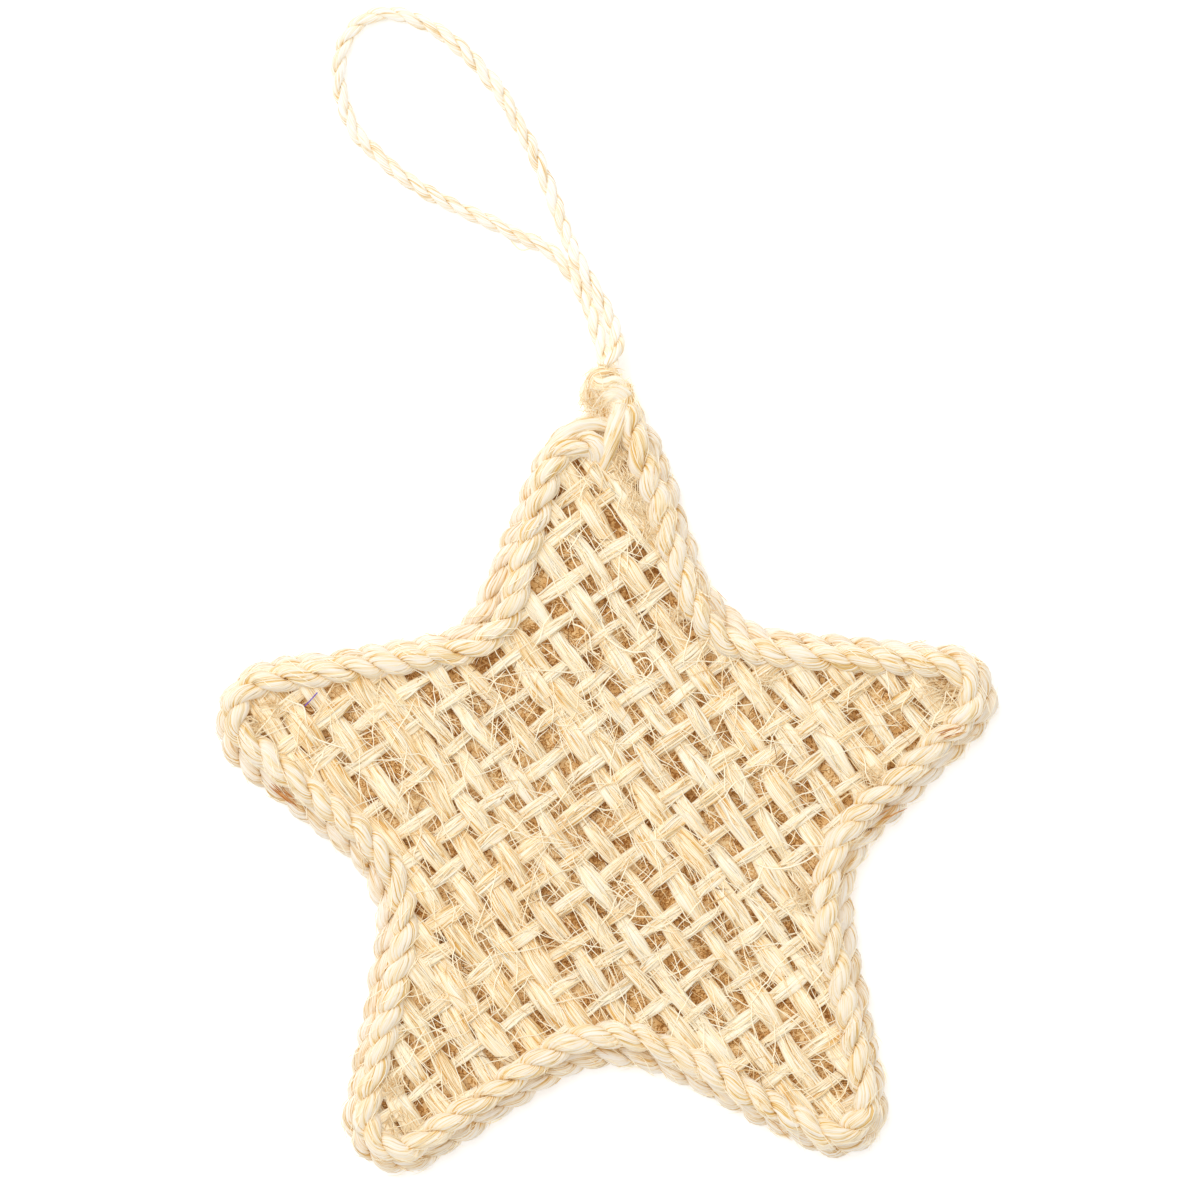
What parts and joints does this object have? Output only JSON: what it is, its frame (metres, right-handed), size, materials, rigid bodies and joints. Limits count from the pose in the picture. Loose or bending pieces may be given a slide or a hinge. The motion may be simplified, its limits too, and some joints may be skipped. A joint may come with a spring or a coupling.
{
  "type": "fibre star ornament",
  "caption": "Flat woven plant-fibre star edged with two twisted ropes, with a thin knotted cord loop at its top point for hanging.",
  "frame": {"origin": "middle of the star's box at the floor, under the middle of the back panel; the hanging cord and its knot are left out of that box", "axes": "+X to the star's right point, +Y to the top point with the hanging cord, +Z out of the face; the star lies on its back"},
  "size_m": [0.0995, 0.1486, 0.0075],
  "materials": {
    "rope": "two-ply rope of undyed leaf fibre, pale straw, dry, with fine lengthwise fibres",
    "weave": "open plain weave of flat fibre bundles, pale straw, with loose fibres",
    "tow": "matted brown tow that shows through the holes of the weave",
    "cord": "thin two-ply twine of the same fibre, paler than the ropes"
  },
  "bodies": {
    "root": {"front_rope": "rope", "back_rope": "rope", "front_weave": "weave", "back_weave": "weave", "padding": "tow", "knot": "cord", "hanging_cord": "cord"}
  },
  "joints": []
}
